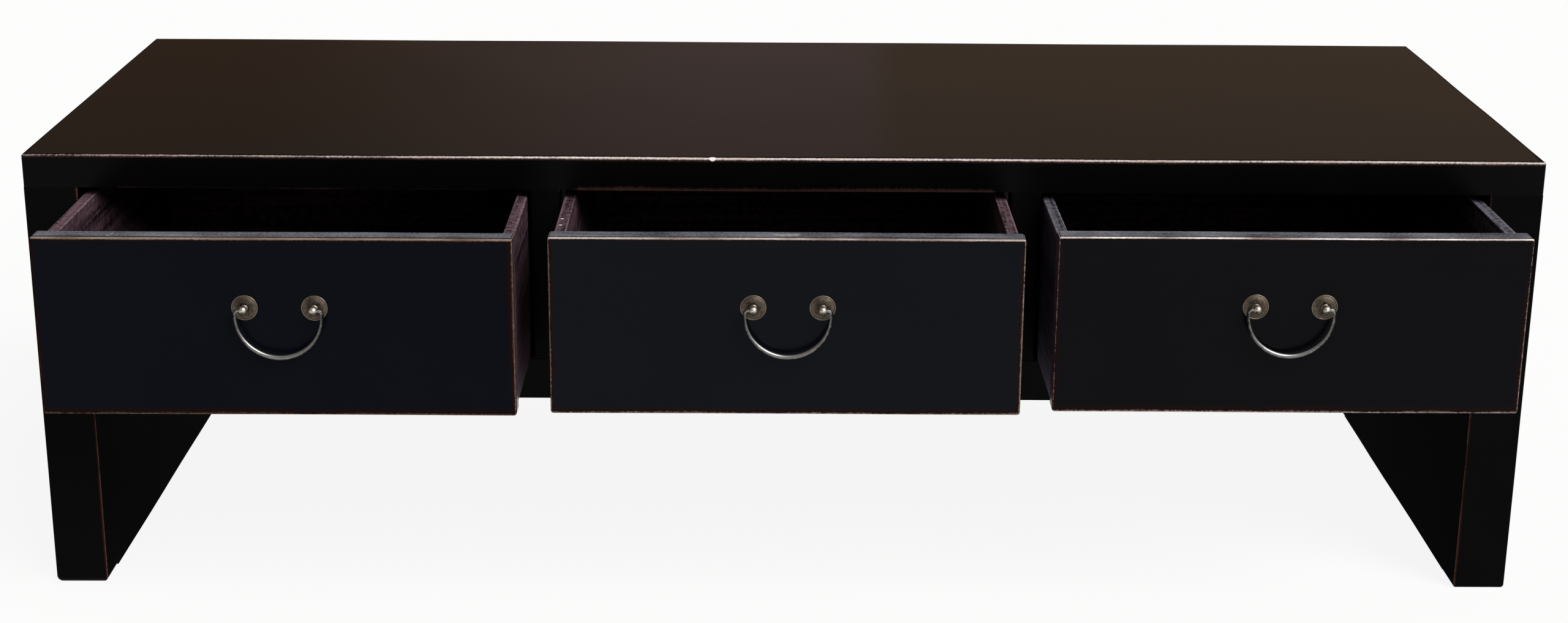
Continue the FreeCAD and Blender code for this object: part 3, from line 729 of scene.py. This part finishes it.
def bailShape(centreX, axisY, axisZ, halfWidth, lowest, pinStart):
    # A forged rod along a level pin, a small bend, an arm and half an ellipse, mirrored: each
    # path point carries a circle in the plane across the path, thickest at the belly.
    bend, arm, belly, pinLine = (bailLook[key] * mm for key in ("bend", "arm", "belly", "pinLine"))
    a = halfWidth - arm
    drop = axisZ - lowest - belly - a
    corner = np.linspace(0, np.pi / 2, bailLook["bendCount"])
    half = np.linspace(0, np.pi / 2, bailLook["bellyCount"] + 1)[1:]
    pin = np.array([pinStart, pinStart, pinStart + pinLine, a - bend - pinLine])
    x = np.concatenate([pin, a - bend + bend * np.sin(corner), a * np.cos(half)])
    z = np.concatenate([0 * pin, -bend + bend * np.cos(corner), -drop - a * np.sin(half)])
    swell = np.concatenate([0 * pin, 0 * corner, np.sin(half) ** bailLook["swellPower"]])
    pinPolish = bailLook["pinPolish"]
    polish = np.concatenate([0 * pin + pinPolish, np.linspace(pinPolish, 0, len(corner)), 0 * half])
    thick = arm + (belly - arm) * swell
    thick[0] = 0.0  # closes the pin's end
    x = np.concatenate([x, -x[-2::-1]])
    z, thick, swell, polish = (np.concatenate([part, part[-2::-1]]) for part in (z, thick, swell, polish))
    tangent = np.stack([np.gradient(x), np.gradient(z)], 1)
    tangent[:2] = tangent[-2:] = (1, 0)
    tangent /= np.linalg.norm(tangent, axis=1, keepdims=True)
    angle = np.linspace(0, 2 * np.pi, bailLook["around"], endpoint=False)
    across = np.outer(thick, np.cos(angle))
    points = np.stack([centreX + x[:, None] - tangent[:, 1:] * across,
                       axisY + np.outer(thick, np.sin(angle)),
                       axisZ + z[:, None] + tangent[:, :1] * across], -1).reshape(-1, 3)
    # fingers wear the rod's inner side, most at the belly, and the balls polish the pins and bends; the
    # inner side's brightness is also a painted highlight, and the outer side is kept dark as painted shade
    armRub, outerShare = bailLook["armRub"], bailLook["outerShare"]
    inner = outerShare + (1 - outerShare) * (0.5 - 0.5 * np.cos(angle))
    rub = np.outer(armRub + (bailLook["bellyRub"] - armRub) * swell, inner) + polish[:, None]
    return points, gridFaces(len(x), len(angle), True), {"rub": rub.ravel()}


for name in drawerNames:
    pull, body = f"pull_{name}", f"drawer_{name}"
    low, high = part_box(f"{pull}_plates")
    plateRadius, centreZ, centreX = (high.z - low.z) / 2, (high.z + low.z) / 2, (high.x + low.x) / 2
    places = (low.x + plateRadius, high.x - plateRadius)
    plates = [plateShape(x, centreZ, high.y, plateRadius, high.y - low.y) for x in places]
    addPiece(pieceName(f"{pull}_plates"), together(plates), materials["agedBrass"], body,
             [f"{pull}_plates"])
    faceY = low.y
    low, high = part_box(f"{pull}_posts")
    ball = (high.z - low.z) / 2
    ballY = low.y + ball
    posts = [postShape(x, centreZ, ballY, ball, faceY, high.y) for x in places]
    addPiece(pieceName(f"{pull}_posts"), together(posts), materials["handledBrass"], body,
             [f"{pull}_posts"])
    low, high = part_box(f"{pull}_bail")
    pinStart = (places[1] - places[0]) / 2 - bailLook["inBall"] * mm
    bail = bailShape(centreX, ballY, centreZ, (high.x - low.x) / 2, low.z, pinStart)
    addPiece(pieceName(f"{pull}_bail"), bail, materials["darkBronze"], f"bail_{name}",
             [f"{pull}_bail"])
print("pulls made:", len(drawerNames))

# CAD nodes that keep their own shape
keptNodes = {"top_batten": "railLacquer", "side_foot_rail": "railLacquer", "runner": "bareWood",
             "guide": "bareWood", "drawer_stops": "bareWood", "pull": "plainSteel"}
for node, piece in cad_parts.items():
    for start, finish in keptNodes.items():
        if node.startswith(start) and not piece.hide_render:
            piece.data.materials.clear()
            piece.data.materials.append(materials[finish])
print("kept nodes finished")

# floor: pale paint that keeps the shadow, mixed with plain white where the camera or a gloss sees it
floorLook = {"size": 90.0, "colour": "#f2f1ef", "drop": 0.2 * mm, "white": 0.9}
size = floorLook["size"] / 2
corners = np.array([[-size, -size, 0], [size, -size, 0], [size, size, 0], [-size, size, 0]])
floorMesh = bpy.data.meshes.new("floor")
floorMesh.from_pydata((corners - [0, 0, floorLook["drop"]]).tolist(), [], [(0, 1, 2, 3)])
floor = bpy.data.objects.new("floor", floorMesh)
scene.collection.objects.link(floor)
floorMaterial, tree = newMaterial("paleFloor")
seen = addNode(tree, "ShaderNodeLightPath")
direct = addNode(tree, "ShaderNodeMath", {
    0: seen.outputs["Is Camera Ray"], 1: seen.outputs["Is Glossy Ray"]}, operation="MAXIMUM")
direct = addNode(tree, "ShaderNodeMath", {
    0: direct.outputs[0], 1: seen.outputs["Is Transmission Ray"]}, operation="MAXIMUM")
share = addNode(tree, "ShaderNodeMath", {0: direct.outputs[0], 1: floorLook["white"]}, operation="MULTIPLY")
paint = addNode(tree, "ShaderNodeBsdfDiffuse", {"Color": linear(floorLook["colour"])})
white = addNode(tree, "ShaderNodeEmission", {"Color": (1, 1, 1, 1), "Strength": 1.0})
both = addNode(tree, "ShaderNodeMixShader", {0: share.outputs[0], 1: paint.outputs[0], 2: white.outputs[0]})
addNode(tree, "ShaderNodeOutputMaterial", {"Surface": both.outputs[0]})
floorMesh.materials.append(floorMaterial)

# one broad soft lamp from the front right, high up
keyLook = {"from": (0.62, -0.62, 0.72), "strength": 3.3, "angle": 40.0}
key = bpy.data.lights.new("softKey", "SUN")
key.energy = keyLook["strength"]
key.angle = math.radians(keyLook["angle"])
keyLamp = bpy.data.objects.new("softKey", key)
keyLamp.rotation_mode = "QUATERNION"
keyLamp.rotation_quaternion = Vector(keyLook["from"]).to_track_quat("Z", "Y")
scene.collection.objects.link(keyLamp)

# A dim warm room: darker to the left, one soft upright edge behind the stand, pale at the horizon.
# Colours are linear light; the jamb and the fade are ranges of sideways over ahead, the others of height.
worldLook = {
    "left": (0.123, 0.072, 0.043, 1), "centre": (0.245, 0.166, 0.146, 1), "right": (0.205, 0.137, 0.092, 1),
    "above": (0.3, 0.29, 0.29, 1), "white": (1, 1, 1, 1), "jamb": (0.046, 0.058), "fade": (-0.24, 0.0),
    "high": (0.2, 0.75), "horizon": (0.0594, 0.033),
}
world = bpy.data.worlds.new("dimRoom")
world.use_nodes = True
scene.world = world
tree = world.node_tree
tree.nodes.clear()
way = addNode(tree, "ShaderNodeSeparateXYZ", {0: addNode(tree, "ShaderNodeTexCoord").outputs["Generated"]})
sideways = addNode(tree, "ShaderNodeMath", {0: way.outputs["X"], 1: way.outputs["Y"]}, operation="DIVIDE")
room = worldLook["left"]
for socket, ends, colour, blend in (
        (sideways.outputs[0], "fade", "centre", "SMOOTHSTEP"),
        (sideways.outputs[0], "jamb", "right", "LINEAR"),
        (way.outputs["Z"], "high", "above", "LINEAR"),
        (way.outputs["Z"], "horizon", "white", "LINEAR")):
    share = addNode(tree, "ShaderNodeMapRange", {"Value": socket, **fromRange(worldLook[ends])},
                    interpolation_type=blend)
    room = addNode(tree, "ShaderNodeMix", {
        mixShare: share.outputs[0], mixFrom: room, mixTo: worldLook[colour]},
        data_type="RGBA").outputs[mixResult]
glow = addNode(tree, "ShaderNodeBackground", {"Color": room, "Strength": 1.0})
addNode(tree, "ShaderNodeOutputWorld", {"Surface": glow.outputs[0]})

# The camera stands in front and a little above: its place in mm, its turns in degrees, its focal
# length and shift in the photograph's pixels
cameraLook = {"place": (-23.6, -2537.9, 1137.5), "yaw": -0.53, "pitch": 16.16, "roll": 0.46,
              "focal": 3797.0, "shift": 200.0, "frameWidth": 2560.0, "sensor": 36.0}
yaw, pitch, roll = (math.radians(cameraLook[name]) for name in ("yaw", "pitch", "roll"))
right = Vector((math.cos(yaw), math.sin(yaw), 0))
ahead = Vector((-math.sin(yaw) * math.cos(pitch), math.cos(yaw) * math.cos(pitch), -math.sin(pitch)))
turn = Matrix.Rotation(-roll, 3, ahead)
right, up = turn @ right, turn @ right.cross(ahead)
cameraData = bpy.data.cameras.new("camera")
cameraData.sensor_width = cameraLook["sensor"]
cameraData.lens = cameraLook["sensor"] * cameraLook["focal"] / cameraLook["frameWidth"]
cameraData.shift_y = -cameraLook["shift"] / cameraLook["frameWidth"]
camera = bpy.data.objects.new("camera", cameraData)
place = Matrix((right, up, -ahead)).transposed().to_4x4()
place.translation = Vector(cameraLook["place"]) * mm
camera.matrix_world = place
scene.collection.objects.link(camera)
scene.camera = camera
scene.view_settings.view_transform = "Standard"
print("stage, light and camera made")
